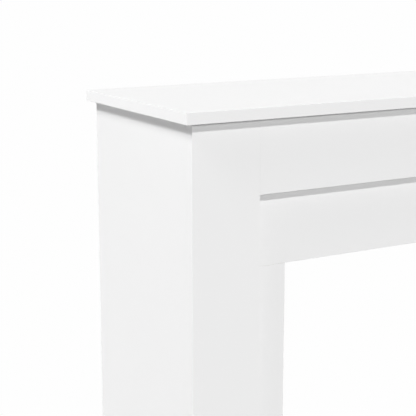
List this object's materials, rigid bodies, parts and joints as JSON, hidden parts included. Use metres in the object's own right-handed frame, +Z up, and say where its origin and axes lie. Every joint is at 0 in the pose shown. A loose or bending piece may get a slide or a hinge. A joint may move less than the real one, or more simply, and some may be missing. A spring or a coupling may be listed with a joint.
{
  "type": "fireplace mantel",
  "caption": "White flat-panel fireplace surround with a thin overhanging mantel shelf, boxed legs and a stepped fascia round an open fire opening.",
  "frame": {"origin": "on the floor, under the middle of the mantel top", "axes": "+X to the right as seen from the room, +Y back to the wall, +Z up"},
  "size_m": [1.12, 0.3, 0.98],
  "materials": {
    "faced_board": "white melamine-faced particle board, semi-matt",
    "edge_strip": "white glued edge strip, semi-matt",
    "cam_zinc": "die-cast zinc, dull",
    "fastener_steel": "bright zinc-plated steel",
    "dowel_beech": "bare beech",
    "glide_plastic": "white moulded polyethylene, matt"
  },
  "bodies": {
    "root": {"cam_bolts_inner_leg_face_left": "fastener_steel", "cam_bolts_inner_leg_face_right": "fastener_steel", "cam_bolts_mantel_top": "fastener_steel", "cam_bolts_recessed_fascia": "fastener_steel", "cam_bolts_side_panel_left": "fastener_steel", "cam_bolts_side_panel_right": "fastener_steel", "cam_locks_foot_rail_left": "cam_zinc", "cam_locks_foot_rail_right": "cam_zinc", "cam_locks_inner_leg_face_left": "cam_zinc", "cam_locks_inner_leg_face_right": "cam_zinc", "cam_locks_rear_rail": "cam_zinc", "cam_locks_recessed_fascia": "cam_zinc", "cam_locks_return_panel_left": "cam_zinc", "cam_locks_return_panel_right": "cam_zinc", "cam_locks_side_panel_left": "cam_zinc", "cam_locks_side_panel_right": "cam_zinc", "connector_screws_left": "fastener_steel", "connector_screws_right": "fastener_steel", "dowels_leg_face_left": "dowel_beech", "dowels_leg_face_right": "dowel_beech", "dowels_mantel_top": "dowel_beech", "dowels_side_panel_left": "dowel_beech", "dowels_side_panel_right": "dowel_beech", "facing_screws_fascia": "fastener_steel", "facing_screws_leg_left": "fastener_steel", "facing_screws_leg_right": "fastener_steel", "foot_rail_left": "faced_board", "foot_rail_left_edging": "edge_strip", "foot_rail_right": "faced_board", "foot_rail_right_edging": "edge_strip", "glide_nails_left": "fastener_steel", "glide_nails_right": "fastener_steel", "glide_pads_left": "glide_plastic", "glide_pads_right": "glide_plastic", "inner_leg_face_left": "faced_board", "inner_leg_face_left_edging": "edge_strip", "inner_leg_face_right": "faced_board", "inner_leg_face_right_edging": "edge_strip", "leg_face_left": "faced_board", "leg_face_left_edging": "edge_strip", "leg_face_right": "faced_board", "leg_face_right_edging": "edge_strip", "mantel_top": "faced_board", "mantel_top_edging": "edge_strip", "rear_rail": "faced_board", "rear_rail_edging": "edge_strip", "recessed_fascia": "faced_board", "recessed_fascia_edging": "edge_strip", "return_panel_left": "faced_board", "return_panel_right": "faced_board", "side_panel_left": "faced_board", "side_panel_right": "faced_board", "upper_fascia": "faced_board", "upper_fascia_edging": "edge_strip"}
  },
  "joints": []
}
